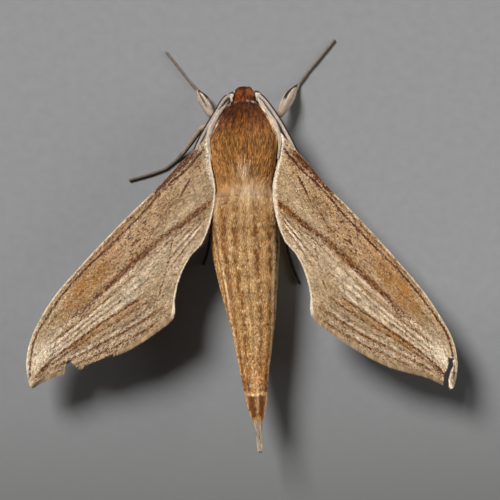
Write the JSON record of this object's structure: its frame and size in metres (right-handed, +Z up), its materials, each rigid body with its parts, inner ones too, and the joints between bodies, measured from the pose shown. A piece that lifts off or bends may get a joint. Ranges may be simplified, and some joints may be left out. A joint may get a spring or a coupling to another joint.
{
  "type": "hawk moth",
  "caption": "Hawk moth at rest, with long swept wings, a tapered body, swept-back antennae and jointed legs that stand on the floor.",
  "frame": {"origin": "on the floor, under the middle of the moth's bounding box", "axes": "+Y forwards, the way the head points; +X to the moth's right; +Z up from the floor that it stands on"},
  "size_m": [0.0492, 0.047, 0.0081],
  "materials": {
    "crown_fur": "matt rust-brown fur of the head and palps",
    "eye_shell": "glossy near-black compound eye",
    "thorax_fur": "matt golden-brown fur, darker in front and edged in white",
    "abdomen_scales": "satin tan scales with lengthwise brown and cream lines",
    "tail_hair": "pale tan brush of long scales",
    "forewing_scales": "satin buff scales with lengthwise brown streaks",
    "hindwing_scales": "matt dark brown scales with a pale band",
    "feeler_scales": "pale scaled feelers with a brown lower side",
    "leg_scales": "grey-buff scaled legs with short spines"
  },
  "bodies": {
    "root": {"head": "crown_fur", "palp_left": "crown_fur", "palp_right": "crown_fur", "eye_left": "eye_shell", "eye_right": "eye_shell", "thorax": "thorax_fur", "abdomen": "abdomen_scales", "tail_tuft": "tail_hair", "forewing_left": "forewing_scales", "forewing_right": "forewing_scales", "hindwing_left": "hindwing_scales", "hindwing_right": "hindwing_scales", "antenna_left": "feeler_scales", "antenna_right": "feeler_scales", "leg_fore_left": "leg_scales", "leg_fore_right": "leg_scales", "leg_mid_left": "leg_scales", "leg_mid_right": "leg_scales", "leg_hind_left": "leg_scales", "leg_hind_right": "leg_scales"}
  },
  "joints": []
}
